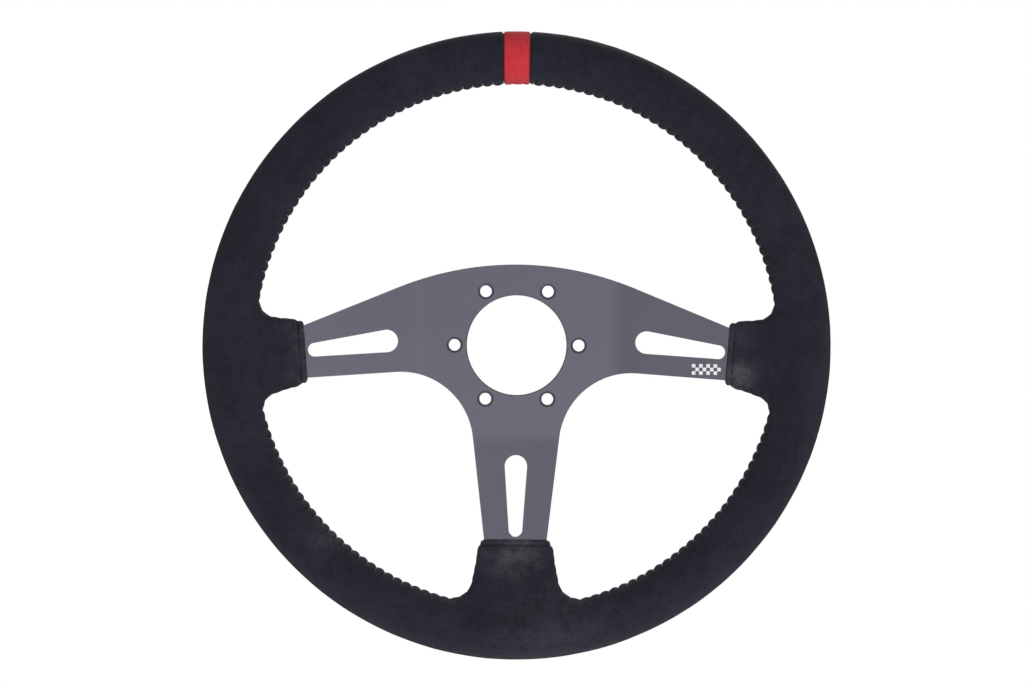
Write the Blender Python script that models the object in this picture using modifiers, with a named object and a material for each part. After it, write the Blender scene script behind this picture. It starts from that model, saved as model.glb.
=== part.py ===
"""A bare three-spoke racing steering wheel: a bent spoke plate riveted to a rim ring, a moulded foam grip
around the ring, and a suede cover sewn shut along the rim's inner edge, with a coloured band at the top.

Metres. The wheel stands upright and its axis lies along Y. The driver looks along +Y, +Z points to twelve
o'clock, and the origin is the centre of the hub's rear face, which lies flat on a boss or a quick release.
"""

import math

import bmesh
import bpy
from mathutils import Matrix, Vector

# Clearances between neighbouring pieces
GAP = 0.0003
WELD = 0.000002  # points closer than this are one point
OVERCUT = 0.004  # how far a cutter runs past what it cuts

# Grip and rim
WHEEL_RADIUS = 0.175
GRIP_RADIUS = 0.0147
RIM_RADIUS = WHEEL_RADIUS - GRIP_RADIUS
INNER_RADIUS = RIM_RADIUS - GRIP_RADIUS
SUEDE = 0.0012  # thickness of the suede
FOAM_DEPTH = SUEDE + GAP  # from the grip's surface down to the foam
RIM_SEGMENTS = 60
GRIP_SEGMENTS = 12

# Spoke plate
PLATE_THICKNESS = 0.004
DISH = 0.025  # from the hub's middle plane forward to the rim's
HUB_Y = -PLATE_THICKNESS / 2
RIM_Y = HUB_Y - DISH
BEND_START = 0.055
BEND_END = 0.150
BEND_SOFTNESS = 0.004
TOP_ARC_RADIUS = 0.175
TOP_ARC_HEIGHT = 0.0455
TOP_ARC_ANGLE = math.radians(22.4)
ARM_TOP = 0.0096
ARM_BOTTOM = -0.0190
LEG_HALF_WIDTH = 0.0172
LEG_TAPER_END = -0.112  # the leg's sides run parallel below this height
TAB_END = 0.1675
TAB_CORNER = 0.002
CROTCH_CORNER = (0.0291, -0.0129)
CROTCH_RADIUS = 0.041
BORE_RADIUS = 0.0281
BORE_CHAMFER = 0.0005
BOLT_CIRCLE_RADIUS = 0.035
BOLT_COUNT = 6
BOLT_HOLE_RADIUS = 0.0033
COUNTERSINK_RADIUS = 0.0046
# Each slot tapers from a wide round end to a narrow one, at these distances along and across its spoke.
ARM_SLOT = ((0.0731, 0.0020, 0.0063), (0.1130, -0.0030, 0.0038))
LEG_SLOT = ((0.0682, 0.0, 0.0063), (0.1034, 0.0, 0.0038))

# Rim ring, and the rivets that hold it to the plate's tabs
RING_RADIUS = 0.006
RING_SEAT_Y = RIM_Y - PLATE_THICKNESS / 2 - GAP
RING_SEGMENTS = 8
RIVET_RADIUS = 0.002
RIVET_FRONT_HEAD_RADIUS = 0.003
RIVET_REAR_HEAD_RADIUS = 0.0036
RIVET_HEAD_HEIGHT = 0.0014
RIVET_HEAD_TOP = 0.7  # radius of a rivet head's flat top, as a part of the head's own
ARM_RIVETS = (0.003, -0.012)
LEG_RIVETS = (0.0085, -0.0085)
SPOTFACE_DEPTH = 0.001
SPOTFACE_RADIUS = 0.0045
RIVET_SIDES = 10

# Sleeves: the grip tapers onto each spoke
SLEEVE_END_HALF_THICKNESS = 0.0038
SLEEVE_ROOT_HALF_THICKNESS = 0.0112
SLEEVE_ROOT = 0.151
SLEEVE_END_ROUNDNESS = 0.42  # radius of the section's corners, as a part of its half thickness
SLEEVE_ROOT_ROUNDNESS = 0.92
SMALLEST_CORNER = 0.0004
SLEEVE_LAST_STATION = RIM_RADIUS - GRIP_RADIUS / 3
ARM_SLEEVE_END = 0.1182
ARM_SLEEVE_SLANT = 0.08
LEG_SLEEVE_END = 0.1086
FOAM_START = 0.0115  # from the sleeve's end to where the foam begins
FILLET_BITE = 0.001

# Seams, measured clockwise from twelve o'clock as the driver sees them
BAND_HALF_ANGLE = math.radians(2.82)
LOWER_PANEL_START = math.radians(106)
STITCH_RADIUS = 0.0006
STITCH_DEPTH = STITCH_RADIUS
SEAM_SLOT_RADIUS = STITCH_RADIUS + 0.00035
SEAM_SETTLE_ANGLE = math.radians(12)
SEAM_CLEAR = 0.2  # how far the seam's points on the rim keep from its corners, in rim segments
BAND_SINK = 0.0002


class Edge:
    """One side edge of a sleeve: a straight line, then an arc that runs into the rim's inner edge. The arc
    would touch a circle FILLET_BITE inside the rim, so it crosses the rim's own edge at a clear angle."""

    def __init__(self, offset, slope, fillet, sign):
        """offset is the edge's distance from the spoke's axis at the hub, if the line ran back that far."""
        self.offset = offset
        self.slope = slope
        self.fillet = fillet
        self.sign = sign
        reach = offset + fillet * math.hypot(1, slope)
        square = 1 + slope**2
        inner = INNER_RADIUS + FILLET_BITE - fillet
        along = (-reach * slope + math.sqrt(square * inner**2 - reach**2)) / square
        self.centre = Vector((along, reach + slope * along))

    def arc_angles(self, inset):
        """Where the arc leaves the line and where it crosses the rim, as angles around the arc's centre."""
        radius = self.fillet + inset
        away = self.centre.length
        turn = ((INNER_RADIUS + inset) ** 2 - away**2 - radius**2) / (2 * radius * away)
        leaves = math.atan(self.slope) - math.pi / 2
        return leaves, math.atan2(self.centre.y, self.centre.x) - math.acos(turn)

    def side(self, along, inset):
        """The edge's distance across the spoke, on a surface that lies inset below the grip's."""
        radius = self.fillet + inset
        line = self.offset + self.slope * along - inset * math.hypot(1, self.slope)
        start = self.centre.x + radius * math.cos(self.arc_angles(inset)[0])
        if along <= start:
            return self.sign * line
        span = min(along - self.centre.x, radius)
        return self.sign * (self.centre.y - max(math.sqrt(radius**2 - span**2), inset))

    def points(self, sleeve_end, inset, line_steps, arc_steps):
        """(along, side) points from the sleeve's end to the rim's inner edge."""
        radius = self.fillet + inset
        first, last = self.arc_angles(inset)
        arc = []
        for step in range(arc_steps + 1):
            angle = first + (last - first) * step / arc_steps
            along = self.centre.x + radius * math.cos(angle)
            across = self.centre.y + radius * math.sin(angle)
            arc.append((along, self.sign * across))
        line = []
        for step in range(line_steps):
            along = sleeve_end + (arc[0][0] - sleeve_end) * step / line_steps
            line.append((along, self.side(along, inset)))
        return line + arc


class Spoke:
    """A spoke's own directions, its sleeve's outline, and where its rivets are."""

    def __init__(self, along, side, sleeve_end, slant, edges, tab, rivets):
        self.along = Vector(along)
        self.side = Vector(side)
        self.sleeve_end = sleeve_end
        self.slant = slant
        self.edges = edges
        self.tab = tab
        self.rivets = rivets

    def place(self, along, side, y):
        return self.along * along + self.side * side + Vector((0, y, 0))

    def flare(self, along):
        """0 at the sleeve's end, 1 at its root in the rim."""
        return min(max((along - self.sleeve_end) / (SLEEVE_ROOT - self.sleeve_end), 0), 1)


ARM_EDGES = {
    "upper": Edge(offset=-0.0033, slope=0.137, fillet=0.009, sign=1),
    "lower": Edge(offset=-0.0224, slope=0.370, fillet=0.008, sign=-1),
}
LEG_EDGES = {
    "upper": Edge(offset=-0.0022, slope=0.200, fillet=0.011, sign=1),
    "lower": Edge(offset=-0.0022, slope=0.200, fillet=0.011, sign=-1),
}
ARM_TAB = (ARM_BOTTOM, ARM_TOP)
LEG_TAB = (-LEG_HALF_WIDTH, LEG_HALF_WIDTH)
SPOKES = {
    "left": Spoke((-1, 0, 0), (0, 0, 1), ARM_SLEEVE_END, ARM_SLEEVE_SLANT, ARM_EDGES, ARM_TAB, ARM_RIVETS),
    "right": Spoke((1, 0, 0), (0, 0, 1), ARM_SLEEVE_END, ARM_SLEEVE_SLANT, ARM_EDGES, ARM_TAB, ARM_RIVETS),
    "bottom": Spoke((0, 0, -1), (1, 0, 0), LEG_SLEEVE_END, 0.0, LEG_EDGES, LEG_TAB, LEG_RIVETS),
}


def ramp(distance):
    """0 before a bend and the distance past it afterwards, with a soft corner."""
    if distance <= -BEND_SOFTNESS:
        return 0.0
    if distance >= BEND_SOFTNESS:
        return distance
    return (distance + BEND_SOFTNESS) ** 2 / (4 * BEND_SOFTNESS)


def plate_rise(along):
    """How far the plate has come forward at this distance out from the hub's centre."""
    slope = DISH / (BEND_END - BEND_START)
    return slope * (ramp(along - BEND_START) - ramp(along - BEND_END))


def plate_y(along):
    return HUB_Y - plate_rise(along)


# ---------------------------------------------------------------- collections, objects and materials


def clear_scene():
    for obj in list(bpy.data.objects):
        bpy.data.objects.remove(obj)


def collection(name):
    made = bpy.data.collections.new(name)
    bpy.context.scene.collection.children.link(made)
    return made


def material(name, colour, roughness, metallic=0.0):
    made = bpy.data.materials.new(name)
    made.use_nodes = True
    shader = made.node_tree.nodes["Principled BSDF"]
    shader.inputs["Base Color"].default_value = (*colour, 1)
    shader.inputs["Roughness"].default_value = roughness
    shader.inputs["Metallic"].default_value = metallic
    return made


def as_cutter(obj):
    for owner in list(obj.users_collection):
        owner.objects.unlink(obj)
    CUTTERS.objects.link(obj)
    obj.hide_render = True
    obj.display_type = "WIRE"
    return obj


def as_part(obj, name, look, smooth_angle=30):
    """Names an object as one of the wheel's pieces and gives it its material."""
    for owner in list(obj.users_collection):
        owner.objects.unlink(obj)
    PARTS.objects.link(obj)
    obj.name = name
    obj.data.name = name
    obj.hide_render = False
    obj.display_type = "TEXTURED"
    obj.data.materials.clear()
    obj.data.materials.append(look)
    obj.data.shade_smooth()
    obj.data.set_sharp_from_angle(angle=math.radians(smooth_angle))
    return obj


def from_bmesh(name, shape):
    shape.normal_update()
    bmesh.ops.recalc_face_normals(shape, faces=shape.faces)
    mesh = bpy.data.meshes.new(name)
    shape.to_mesh(mesh)
    shape.free()
    made = bpy.data.objects.new(name, mesh)
    return as_cutter(made)


def copy_of(obj, name):
    made = obj.copy()
    made.data = obj.data.copy()
    made.name = name
    return as_cutter(made)


def bake(obj):
    """Replaces the object's mesh with its evaluated one."""
    bpy.context.view_layer.update()
    graph = bpy.context.evaluated_depsgraph_get()
    mesh = bpy.data.meshes.new_from_object(obj.evaluated_get(graph))
    obj.modifiers.clear()
    obj.data = mesh
    return obj


def combine(obj, operation, *tools, solver="EXACT"):
    """Joins tools to the object, cuts them from it, or keeps only what they share, and welds what is left.
    The grip's shapes need the MANIFOLD solver: EXACT leaves a hole where a sleeve grazes the rim."""
    for tool in tools:
        modifier = obj.modifiers.new(operation.title(), "BOOLEAN")
        modifier.operation = operation
        modifier.object = tool
        modifier.solver = solver
        bake(obj)
        shape = bmesh.new()
        shape.from_mesh(obj.data)
        bmesh.ops.remove_doubles(shape, verts=shape.verts, dist=WELD)
        bmesh.ops.dissolve_degenerate(shape, edges=shape.edges, dist=WELD)
        shape.to_mesh(obj.data)
        shape.free()
    return obj


# ---------------------------------------------------------------- shapes that several pieces share


def ring_of(name, ring_radius, tube_radius, tube_segments, y):
    """A ring around the wheel's axis."""
    bpy.ops.mesh.primitive_torus_add(
        major_radius=ring_radius,
        minor_radius=tube_radius,
        major_segments=RIM_SEGMENTS,
        minor_segments=tube_segments,
    )
    made = bpy.context.active_object
    made.name = name
    made.data.transform(Matrix.Translation((0, y, 0)) @ Matrix.Rotation(math.pi / 2, 4, "X"))
    return as_cutter(made)


def cylinder(name, radius, start, end, sides):
    """A cylinder from start to end, which differ in y only."""
    shape = bmesh.new()
    bmesh.ops.create_cone(
        shape,
        cap_ends=True,
        segments=sides,
        radius1=radius,
        radius2=radius,
        depth=abs(end.y - start.y),
        matrix=Matrix.Translation((start + end) / 2) @ Matrix.Rotation(math.pi / 2, 4, "X"),
    )
    return from_bmesh(name, shape)


def box(name, spoke, along, side, y):
    """A box in a spoke's own directions, from three (low, high) pairs."""
    shape = bmesh.new()
    bmesh.ops.create_cube(shape, size=1)
    for vertex in shape.verts:
        fraction = vertex.co + Vector((0.5, 0.5, 0.5))
        vertex.co = spoke.place(
            along[0] + fraction.x * (along[1] - along[0]),
            side[0] + fraction.y * (side[1] - side[0]),
            y[0] + fraction.z * (y[1] - y[0]),
        )
    return from_bmesh(name, shape)


def wedge(name, start, end):
    """A slice of the whole wheel between two clock angles, thick enough to hold the rim."""
    reach = 2 * WHEEL_RADIUS
    steps = max(1, math.ceil((end - start) / math.radians(45)))
    corners = [(0.0, 0.0)]
    for step in range(steps + 1):
        angle = start + (end - start) * step / steps
        corners.append((reach * math.sin(angle), reach * math.cos(angle)))
    shape = bmesh.new()
    back = [shape.verts.new((x, OVERCUT, z)) for x, z in corners]
    face = shape.faces.new(back)
    grown = bmesh.ops.extrude_face_region(shape, geom=[face])
    front = [item for item in grown["geom"] if isinstance(item, bmesh.types.BMVert)]
    bmesh.ops.translate(shape, verts=front, vec=(0, 2 * RIM_Y - 2 * OVERCUT, 0))
    return from_bmesh(name, shape)


def tube(name, points, radius):
    """A closed tube along the points, as a mesh."""
    curve = bpy.data.curves.new(name, "CURVE")
    curve.dimensions = "3D"
    curve.bevel_depth = radius
    curve.bevel_resolution = 1
    curve.use_fill_caps = True
    spline = curve.splines.new("POLY")
    spline.points.add(len(points) - 1)
    for spline_point, point in zip(spline.points, points):
        spline_point.co = (*point, 1)
    return mesh_from_curve(name, curve)


def mesh_from_curve(name, curve):
    holder = bpy.data.objects.new(name, curve)
    CUTTERS.objects.link(holder)
    bpy.context.view_layer.update()
    graph = bpy.context.evaluated_depsgraph_get()
    mesh = bpy.data.meshes.new_from_object(holder.evaluated_get(graph))
    bpy.data.objects.remove(holder)
    shape = bmesh.new()
    shape.from_mesh(mesh)
    bpy.data.meshes.remove(mesh)
    bmesh.ops.remove_doubles(shape, verts=shape.verts, dist=WELD)
    return from_bmesh(name, shape)


# ---------------------------------------------------------------- grip: rim and sleeves at any depth


def sleeve_section(spoke, along, inset):
    """The sleeve's outline at one distance along its spoke: a rectangle with cut corners, as 12 points."""
    top = spoke.edges["upper"].side(along, inset)
    bottom = spoke.edges["lower"].side(along, inset)
    flare = spoke.flare(along)
    swell = SLEEVE_ROOT_HALF_THICKNESS - SLEEVE_END_HALF_THICKNESS
    half_thickness = SLEEVE_END_HALF_THICKNESS + swell * flare**2
    roundness = SLEEVE_END_ROUNDNESS + (SLEEVE_ROOT_ROUNDNESS - SLEEVE_END_ROUNDNESS) * flare
    corner = max(half_thickness * roundness - inset, SMALLEST_CORNER)
    half_thickness -= inset
    half_width = (top - bottom) / 2
    middles = [(half_width, 0), (0, half_thickness), (-half_width, 0), (0, -half_thickness)]
    outline = []
    for quarter, side_middle in enumerate(middles):
        outline.append(side_middle)
        corner_side = (half_width - corner) * (1 if quarter in (0, 3) else -1)
        corner_y = (half_thickness - corner) * (1 if quarter in (0, 1) else -1)
        for turn in range(2):
            angle = math.radians(90 * (quarter + turn))
            outline.append((corner_side + corner * math.cos(angle), corner_y + corner * math.sin(angle)))
    middle = (top + bottom) / 2
    lean = spoke.slant * max(0, 1 - 2 * flare)  # the end's slant dies out halfway to the root
    y = plate_y(along)
    return [spoke.place(along + lean * (middle + side), middle + side, y + up) for side, up in outline]


def sleeve(name, spoke, inset, start):
    """A loft through the sleeve's sections, from start to inside the rim. The stations between don't depend
    on the depth, so that a deeper sleeve always lies inside a shallower one."""
    arc_start = min(edge.centre.x for edge in spoke.edges.values())
    candidates = [spoke.sleeve_end + (arc_start - spoke.sleeve_end) * step / 3 for step in range(3)]
    for edge in spoke.edges.values():
        turns = [math.radians(22.5 * step) for step in range(5)]
        candidates += [edge.centre.x + edge.fillet * math.sin(turn) for turn in turns]
    candidates += [SLEEVE_ROOT, SLEEVE_LAST_STATION]
    stations = [start]
    for along in sorted(candidates):
        if along > stations[-1] + GAP:
            stations.append(along)
    shape = bmesh.new()
    sections = [sleeve_section(spoke, along, inset) for along in stations]
    rings = [[shape.verts.new(point) for point in section] for section in sections]
    for near, far in zip(rings, rings[1:]):
        for i in range(len(near)):
            j = (i + 1) % len(near)
            shape.faces.new((near[i], near[j], far[j]))
            shape.faces.new((near[i], far[j], far[i]))
    shape.faces.new(rings[0])
    shape.faces.new(rings[-1])
    return from_bmesh(name, shape)


def grip_body(name, inset, sleeve_shift=0.0):
    """The rim and its sleeves, inset below the grip's surface. sleeve_shift moves where the sleeves begin."""
    body = ring_of(name, RIM_RADIUS, GRIP_RADIUS - inset, GRIP_SEGMENTS, RIM_Y)
    sleeves = []
    for side, spoke in SPOKES.items():
        sleeves.append(sleeve(f"{name}_{side}_sleeve", spoke, inset, spoke.sleeve_end + sleeve_shift))
    return combine(body, "UNION", *sleeves, solver="MANIFOLD")


def seam_path(first, first_edge, second, second_edge, overrun):
    """The line where the cover is sewn shut around one window: along a sleeve, the rim and a sleeve again."""
    ends = []
    for spoke, edge in ((SPOKES[first], first_edge), (SPOKES[second], second_edge)):
        points = spoke.edges[edge].points(spoke.sleeve_end + overrun, STITCH_DEPTH, 4, 6)
        ends.append([spoke.place(along, side, plate_y(along)) for along, side in points])
    start, finish = ends[0][-1], ends[1][-1]
    from_angle = math.atan2(start.x, start.z)
    to_angle = math.atan2(finish.x, finish.z)
    if to_angle < from_angle:
        to_angle += 2 * math.pi
    step = 2 * math.pi / RIM_SEGMENTS
    rim = []
    for i in range(math.ceil(from_angle / step + SEAM_CLEAR), math.floor(to_angle / step - SEAM_CLEAR) + 1):
        angle = i * step
        from_start = max(0, 1 - (angle - from_angle) / SEAM_SETTLE_ANGLE)
        from_finish = max(0, 1 - (to_angle - angle) / SEAM_SETTLE_ANGLE)
        y = RIM_Y + (start.y - RIM_Y) * from_start**2 + (finish.y - RIM_Y) * from_finish**2
        radius = INNER_RADIUS + STITCH_DEPTH
        rim.append(Vector((radius * math.sin(angle), y, radius * math.cos(angle))))
    return ends[0] + rim + ends[1][::-1]


# ---------------------------------------------------------------- pieces


def rounded(corners, steps):
    """The closed outline through (x, z, radius) corners, each rounded to its radius."""
    outline = []
    for i, (x, z, radius) in enumerate(corners):
        corner = Vector((x, z))
        if not radius:
            outline.append(corner)
            continue
        before = (Vector(corners[i - 1][:2]) - corner).normalized()
        after = (Vector(corners[(i + 1) % len(corners)][:2]) - corner).normalized()
        half = before.angle(after) / 2
        centre = corner + (before + after).normalized() * radius / math.sin(half)
        first = corner + before * radius / math.tan(half) - centre
        last = corner + after * radius / math.tan(half) - centre
        sweep = first.angle_signed(last)
        for step in range(steps + 1):
            outline.append(centre + Matrix.Rotation(-sweep * step / steps, 2) @ first)
    return outline


def slot(wide, narrow, steps=8):
    """The outline around two circles, each (x, z, radius)."""
    wide_centre, narrow_centre = Vector(wide[:2]), Vector(narrow[:2])
    run = narrow_centre - wide_centre
    heading = math.atan2(run.y, run.x)
    lean = math.acos((wide[2] - narrow[2]) / run.length)
    outline = []
    for centre, radius, start, sweep in (
        (wide_centre, wide[2], heading + lean, 2 * math.pi - 2 * lean),
        (narrow_centre, narrow[2], heading - lean, 2 * lean),
    ):
        for step in range(steps + 1):
            angle = start + sweep * step / steps
            outline.append(centre + radius * Vector((math.cos(angle), math.sin(angle))))
    return outline


def flat_sheet(name, outlines, thickness):
    """A flat sheet in the plane of the hub, with the first outline as its edge and the others as holes."""
    curve = bpy.data.curves.new(name, "CURVE")
    curve.dimensions = "2D"
    curve.fill_mode = "BOTH"
    curve.extrude = thickness / 2
    for outline in outlines:
        spline = curve.splines.new("POLY")
        spline.points.add(len(outline) - 1)
        spline.use_cyclic_u = True
        for spline_point, point in zip(spline.points, outline):
            spline_point.co = (point.x, point.y, 0, 1)
    sheet = mesh_from_curve(name, curve)
    sheet.data.transform(Matrix.Translation((0, HUB_Y, 0)) @ Matrix.Rotation(math.pi / 2, 4, "X"))
    return sheet


def bend(sheet):
    """Cuts the sheet's faces along the bend lines, then brings the spokes forward."""
    shape = bmesh.new()
    shape.from_mesh(sheet.data)
    bmesh.ops.dissolve_limit(shape, angle_limit=math.radians(0.2), verts=shape.verts, edges=shape.edges)
    for line in (BEND_START, BEND_END):
        for part in (-1, -0.5, 0, 0.5, 1):
            distance = line + part * BEND_SOFTNESS
            for spoke in SPOKES.values():
                everything = shape.verts[:] + shape.edges[:] + shape.faces[:]
                at = spoke.along * distance
                bmesh.ops.bisect_plane(shape, geom=everything, plane_co=at, plane_no=spoke.along, dist=1e-6)
    for vertex in shape.verts:
        vertex.co.y -= plate_rise(max(abs(vertex.co.x), -vertex.co.z))
    bmesh.ops.triangulate(shape, faces=shape.faces)
    shape.to_mesh(sheet.data)
    shape.free()
    return sheet


def plate_outline():
    """The plate seen by the driver: an arched top edge, two arms and a leg."""
    arc_drop = TOP_ARC_RADIUS * (1 - math.cos(TOP_ARC_ANGLE))
    arc_side = TOP_ARC_RADIUS * math.sin(TOP_ARC_ANGLE)
    arm_start = arc_side + (TOP_ARC_HEIGHT - arc_drop - ARM_TOP) / math.tan(TOP_ARC_ANGLE)
    right = [
        (arm_start, ARM_TOP, 0),
        (TAB_END, ARM_TOP, TAB_CORNER),
        (TAB_END, ARM_BOTTOM, TAB_CORNER),
        (arm_start, ARM_BOTTOM, 0),
        (*CROTCH_CORNER, CROTCH_RADIUS),
        (LEG_HALF_WIDTH, LEG_TAPER_END, 0),
        (LEG_HALF_WIDTH, -TAB_END, TAB_CORNER),
    ]
    left = [(-x, z, radius) for x, z, radius in reversed(right)]
    sides = rounded(right + left, steps=10)
    top = []
    for step in range(-10, 11):
        angle = TOP_ARC_ANGLE * step / 10
        height = TOP_ARC_HEIGHT - TOP_ARC_RADIUS * (1 - math.cos(angle))
        top.append(Vector((TOP_ARC_RADIUS * math.sin(angle), height)))
    return top + sides


def bolt_places():
    places = []
    for i in range(BOLT_COUNT):
        angle = 2 * math.pi * i / BOLT_COUNT
        places.append((BOLT_CIRCLE_RADIUS * math.cos(angle), BOLT_CIRCLE_RADIUS * math.sin(angle)))
    return places


def hole(name, x, z, radius, chamfer, sides):
    """A cutter for a round hole through the hub with a 45 degree chamfer at its front face."""
    front, rear = HUB_Y - PLATE_THICKNESS / 2, HUB_Y + PLATE_THICKNESS / 2
    profile = [
        (0, rear + OVERCUT),
        (radius, rear + OVERCUT),
        (radius, front + chamfer),
        (radius + chamfer + OVERCUT, front - OVERCUT),
        (0, front - OVERCUT),
    ]
    cutter = turned(name, profile, sides)
    cutter.data.transform(Matrix.Translation((x, 0, z)))
    return cutter


def build_spoke_plate(look):
    slots = [slot(*[(side, -along, radius) for along, side, radius in LEG_SLOT])]
    for sign in (-1, 1):
        slots.append(slot(*[(sign * along, side, radius) for along, side, radius in ARM_SLOT]))
    plate = bend(flat_sheet("spoke_plate", [plate_outline()] + slots, PLATE_THICKNESS))
    tools = [hole("bore", 0, 0, BORE_RADIUS, BORE_CHAMFER, 48)]
    for i, (x, z) in enumerate(bolt_places()):
        countersink = COUNTERSINK_RADIUS - BOLT_HOLE_RADIUS
        tools.append(hole(f"bolt_hole_{i + 1}", x, z, BOLT_HOLE_RADIUS, countersink, 16))
    for side, spoke in SPOKES.items():
        for i, rivet in enumerate(rivet_places(spoke)):
            reach = Vector((0, PLATE_THICKNESS, 0))
            centre = Vector((rivet.x, RIM_Y, rivet.z))
            name = f"plate_rivet_hole_{side}_{i + 1}"
            tools.append(cylinder(name, RIVET_RADIUS + GAP, centre - reach, centre + reach, RIVET_SIDES))
    combine(plate, "DIFFERENCE", *tools)
    return as_part(plate, "spoke_plate", look)


def rivet_places(spoke):
    """Where a spoke's rivets cross the seat on the rim ring."""
    return [spoke.place(math.sqrt(RIM_RADIUS**2 - side**2), side, RING_SEAT_Y) for side in spoke.rivets]


def build_rim_ring(look):
    ring = ring_of("rim_ring", RIM_RADIUS, RING_RADIUS, RING_SEGMENTS, RING_SEAT_Y)
    tools = []
    for side, spoke in SPOKES.items():
        low, high = spoke.tab
        reach = (RIM_RADIUS - 2 * RING_RADIUS, RIM_RADIUS + 2 * RING_RADIUS)
        span = (low - 2 * GAP, high + 2 * GAP)
        depth = (RING_SEAT_Y, RING_SEAT_Y + 2 * RING_RADIUS)
        tools.append(box(f"ring_seat_{side}", spoke, reach, span, depth))
        for i, rivet in enumerate(rivet_places(spoke)):
            front = Vector((0, -RING_RADIUS - OVERCUT, 0))
            rear = Vector((0, OVERCUT, 0))
            face = Vector((0, -RING_RADIUS + SPOTFACE_DEPTH, 0))
            name = f"ring_rivet_hole_{side}_{i + 1}"
            tools.append(cylinder(name, RIVET_RADIUS + GAP, rivet + front, rivet + rear, RIVET_SIDES))
            name = f"ring_spotface_{side}_{i + 1}"
            tools.append(cylinder(name, SPOTFACE_RADIUS, rivet + front, rivet + face, RIVET_SIDES))
    combine(ring, "DIFFERENCE", *tools)
    return as_part(ring, "rim_ring", look)


def rivet_ends():
    """The (front, rear) y of a rivet's shank, from the ring's spot face to the plate's rear face."""
    front = RING_SEAT_Y - RING_RADIUS + SPOTFACE_DEPTH - GAP
    rear = RIM_Y + PLATE_THICKNESS / 2 + GAP
    return front, rear


def turned(name, profile, sides):
    """A turned shape from (radius, height) points that run down its outer side, with its axis along Y."""
    mesh = bpy.data.meshes.new(name)
    points = [(radius, 0, height) for radius, height in profile]
    mesh.from_pydata(points, [(i, i + 1) for i in range(len(points) - 1)], [])
    made = bpy.data.objects.new(name, mesh)
    as_cutter(made)
    screw = made.modifiers.new("Turn", "SCREW")
    screw.axis = "Z"
    screw.steps = sides
    screw.render_steps = sides
    screw.use_merge_vertices = True
    screw.merge_threshold = WELD
    bake(made)
    made.data.transform(Matrix.Rotation(-math.pi / 2, 4, "X"))
    return made


def build_rivets(look):
    front, rear = rivet_ends()
    profile = [
        (0, rear + RIVET_HEAD_HEIGHT),
        (RIVET_REAR_HEAD_RADIUS * RIVET_HEAD_TOP, rear + RIVET_HEAD_HEIGHT),
        (RIVET_REAR_HEAD_RADIUS, rear),
        (RIVET_RADIUS, rear),
        (RIVET_RADIUS, front),
        (RIVET_FRONT_HEAD_RADIUS, front),
        (RIVET_FRONT_HEAD_RADIUS * RIVET_HEAD_TOP, front - RIVET_HEAD_HEIGHT),
        (0, front - RIVET_HEAD_HEIGHT),
    ]
    for side, spoke in SPOKES.items():
        for i, place in enumerate(rivet_places(spoke)):
            name = f"rivet_{side}_{i + 1}"
            rivet = turned(name, profile, RIVET_SIDES)
            rivet.location = (place.x, 0, place.z)
            as_part(rivet, name, look, smooth_angle=40)


def build_rim_foam(look):
    foam = grip_body("rim_foam", FOAM_DEPTH, sleeve_shift=FOAM_START)
    tools = [ring_of("foam_ring_space", RIM_RADIUS, RING_RADIUS + GAP, RING_SEGMENTS, RING_SEAT_Y)]
    front, rear = rivet_ends()
    head = RIVET_HEAD_HEIGHT + GAP
    for side, spoke in SPOKES.items():
        tools.append(tab_space(f"foam_tab_space_{side}", spoke))
        for i, place in enumerate(rivet_places(spoke)):
            near = Vector((place.x, front - head, place.z))
            far = Vector((place.x, rear + head, place.z))
            radius = RIVET_REAR_HEAD_RADIUS + GAP
            tools.append(cylinder(f"foam_rivet_space_{side}_{i + 1}", radius, near, far, RIVET_SIDES))
    combine(foam, "DIFFERENCE", *tools, solver="MANIFOLD")
    return as_part(foam, "rim_foam", look)


def tab_space(name, spoke):
    """The room that one spoke's tab takes in the foam, with a gap all round."""
    low, high = spoke.tab
    start, end = spoke.sleeve_end - OVERCUT, TAB_END + GAP
    along = [start, end, end, start]
    side = [low - GAP, low - GAP, high + GAP, high + GAP]
    corners = [spoke.place(a, s, 0) for a, s in zip(along, side)]
    outline = [Vector((corner.x, corner.z)) for corner in corners]
    return bend(flat_sheet(name, [outline], PLATE_THICKNESS + 2 * GAP))


def build_covers(look):
    """The suede: a shell over the whole grip, slit along its seams and divided into its sewn panels."""
    shell = grip_body("cover_shell", 0)
    tools = [grip_body("cover_hollow", SUEDE, sleeve_shift=-OVERCUT)]
    for name, *ends in WINDOWS:
        tools.append(tube(f"seam_slot_{name}", seam_path(*ends, overrun=-OVERCUT), SEAM_SLOT_RADIUS))
    combine(shell, "DIFFERENCE", *tools, solver="MANIFOLD")
    half_gap = GAP / 2 / RIM_RADIUS
    lower_end = 2 * math.pi - LOWER_PANEL_START
    panels = {
        "cover_upper_right": (BAND_HALF_ANGLE + half_gap, LOWER_PANEL_START - half_gap),
        "cover_lower": (LOWER_PANEL_START + half_gap, lower_end - half_gap),
        "cover_upper_left": (lower_end + half_gap, 2 * math.pi - BAND_HALF_ANGLE - half_gap),
    }
    for name, (start, end) in panels.items():
        part = wedge(f"{name}_wedge", start, end)
        panel = combine(copy_of(shell, name), "INTERSECT", part, solver="MANIFOLD")
        as_part(panel, name, look, smooth_angle=40)


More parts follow.
